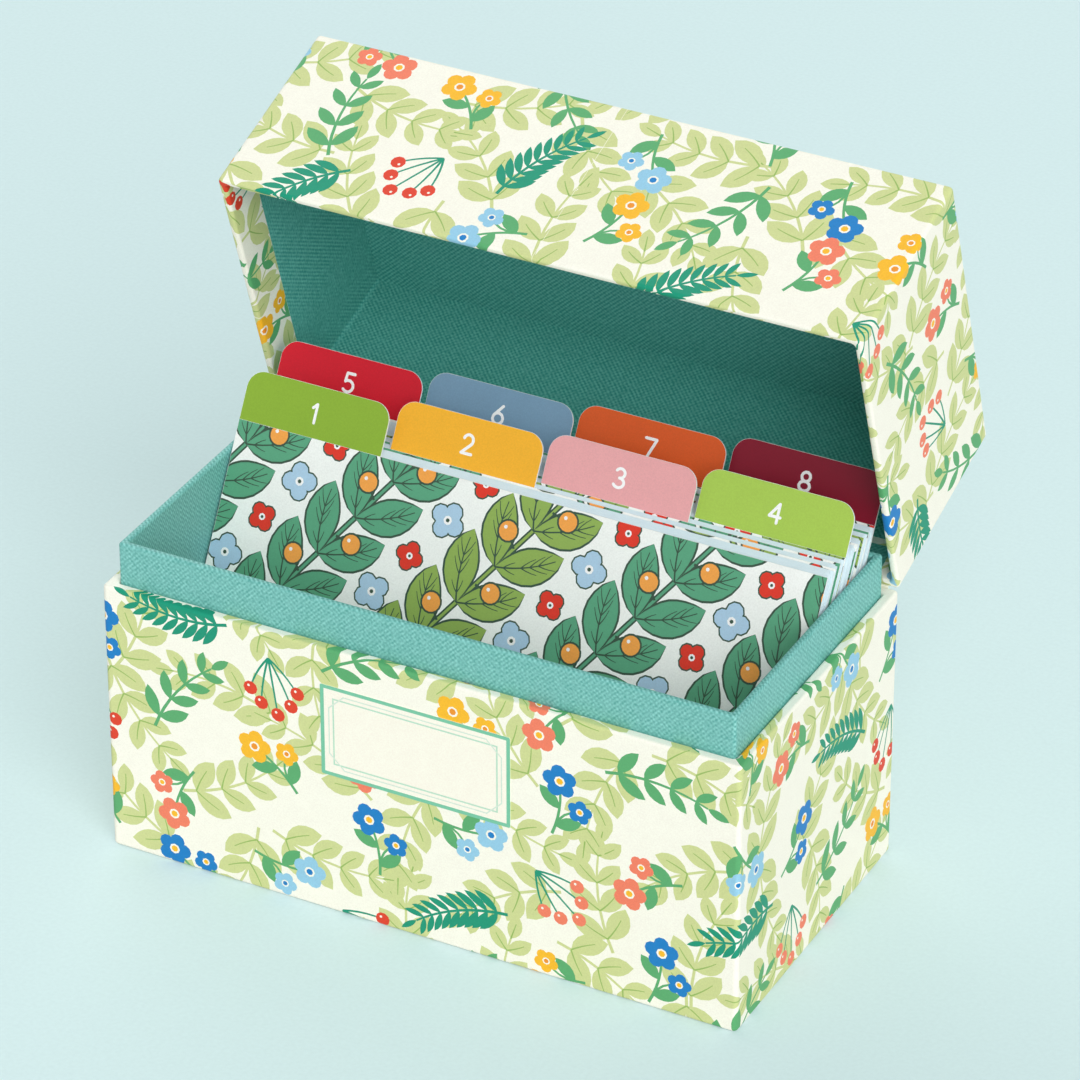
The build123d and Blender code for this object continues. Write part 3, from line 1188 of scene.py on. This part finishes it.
def label():
    near, far = corners_of("front_label")
    half_x, half_y = (far.x - near.x) / 2, (far.z - near.z) / 2
    outline = []
    for i, (side_x, side_y) in enumerate(((1, -1), (1, 1), (-1, 1), (-1, -1))):
        x, y = side_x * (half_x - LABEL_CORNER), side_y * (half_y - LABEL_CORNER)
        outline += rounded_corner(x, y, LABEL_CORNER, pi / 2 * (i - 1), LABEL_STEPS)
    middle = (near.z + far.z) / 2

    def place(flat, depth):
        y = np.full(len(flat), near.y + depth)
        return np.stack([flat[:, 0], y, middle + flat[:, 1]], 1)

    drawing = label_drawing(half_x, half_y)
    bare = ("border", "ground", "ground")
    cut = cut_sheet(outline, [], drawing, place, far.y - near.y, bare=bare)
    piece = mesh_piece("label_print", cut, ink_set("label", LABEL_INKS, UNCOATED))
    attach(piece, "base")
    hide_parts("front_label")


teal = linen_material("teal_linen", (88, 166, 158), (148, 214, 208))
# The lid's copy of the teal linen is darker and more saturated than the collar's: painted shade
# inside the open lid.
teal_lid_painted_shade = linen_material("teal_linen_lid_painted_shade", (66, 156, 146), (122, 204, 194), OPEN_ANGLE)
DIVIDER_PRINT = ink_set("divider", DIVIDER_INKS, COATED)
base_cover()
lid_cover()
hinge_strips(teal_lid_painted_shade)
label()
for number in range(1, len(TAB_INKS) + 1):
    divider(number)

# ----- CAD nodes that show

board = fibre_material("greyboard", (135, 130, 122), (178, 173, 163), 900.0)
tape = fibre_material("kraft_tape", (176, 146, 106), (205, 178, 138), 1400.0)
plain = fibre_material("plain_paper", (222, 228, 224), (240, 244, 241), 1800.0)
card = card_material("card_stock", (190, 224, 236), (244, 251, 253))
for node in ("collar_wrap", "floor_liner"):
    dress(node, teal)
# The lid's liner takes the darker teal linen copy: painted shade.
dress("lid_liner", teal_lid_painted_shade)
for node in ("base_board", "lid_board", "collar_board"):
    dress(node, board)
for node in ("base_corner_stays", "lid_corner_stays"):
    dress(node, tape)
dress("base_bottom_sheet", plain)
for number in range(1, len(TAB_INKS) + 1):
    dress(f"cards_{number}", card)

# ----- floor, light and camera

FLOOR_HALF = 3.0
FLOOR_DARK, FLOOR_LIGHT = (213, 237, 238), (217, 241, 242)
FLOOR_RETURN = (232, 236, 235)
PLAIN_SHARE = 0.35
WORLD_STRENGTH = 0.355
# Each sun: its name, the way its light comes from, its strength and its width in degrees
SUNS = (
    ("key", (0.55, -0.55, 0.62), 2.0, 45),
    ("low", (0.6, -0.8, 0.1), 0.55, 40),
    ("back", (-0.6, 0.62, 0.5), 1.0, 50),
)
# The camera that was fitted to the photograph
CAMERA_LENS = 201.32
CAMERA_PLACE = (0.5752, -1.0786, 0.8410)
CAMERA_FORWARD = (-0.3948, 0.7544, -0.5243)
CAMERA_RIGHT = (0.8862, 0.4633, -0.0006)


def make_floor():
    half = FLOOR_HALF
    corners = [(x, y, 0) for x, y in rectangle(-half, -half, half, half)]
    mesh = bpy.data.meshes.new("floor")
    mesh.from_pydata(corners, [], [(0, 1, 2, 3)])
    floor = new_object("floor", mesh)
    new = Surface("floor_paper", 0.8)
    grain = new.noise(900.0, 4.0)
    colour = new.tinted(new.spread(grain, 0.3, 0.7), FLOOR_DARK, FLOOR_LIGHT)
    new.bumped(grain, 0.05, 0.0002)
    seen = new.seen_directly()
    # the floor's tint is seen, but it doesn't colour the light that the floor sends back
    new.coloured(new.tinted(seen, FLOOR_RETURN, colour))
    # part of the floor's colour is shown as it is, so that its shadows stay pale
    plain_light = new.nodes.new("ShaderNodeEmission")
    new.links.new(colour, plain_light.inputs["Color"])
    both = new.mixed_shader(new.times(seen, PLAIN_SHARE), new.shader, plain_light)
    new.links.new(both, new.nodes["Material Output"].inputs["Surface"])
    mesh.materials.append(new.material)


def sun_light(name, from_way, strength, spread_deg):
    """A broad, soft light that comes from a direction."""
    data = bpy.data.lights.new(name, "SUN")
    data.energy = strength
    data.angle = radians(spread_deg)
    turn = Vector(from_way).to_track_quat("Z", "Y")
    new_object(name, data).rotation_euler = turn.to_euler()


def make_world():
    """A plain white light all round; the camera sees the floor's tint beyond the floor."""
    world = bpy.data.worlds.new("studio")
    tree = Tree(world)
    light = tree.nodes["Background"]
    light.inputs["Color"].default_value = (1.0, 1.0, 1.0, 1.0)
    light.inputs["Strength"].default_value = WORLD_STRENGTH
    backdrop = tree.nodes.new("ShaderNodeBackground")
    backdrop.inputs["Color"].default_value = linear(FLOOR_LIGHT)
    both = tree.mixed_shader(tree.seen_directly(), light, backdrop)
    tree.links.new(both, tree.nodes["World Output"].inputs["Surface"])
    scene.world = world


def make_camera():
    data = bpy.data.cameras.new("photo_camera")
    data.sensor_width = 36.0
    data.lens = CAMERA_LENS
    data.clip_start = 0.05
    camera = new_object("photo_camera", data)
    forward = Vector(CAMERA_FORWARD).normalized()
    right = Vector(CAMERA_RIGHT).normalized()
    up = right.cross(forward).normalized()
    right = forward.cross(up)
    turn = Matrix((right, up, -forward)).transposed()
    camera.matrix_world = Matrix.Translation(CAMERA_PLACE) @ turn.to_4x4()
    scene.camera = camera


make_floor()
make_world()
for sun in SUNS:
    sun_light(*sun)
make_camera()
scene.view_settings.view_transform = "Standard"
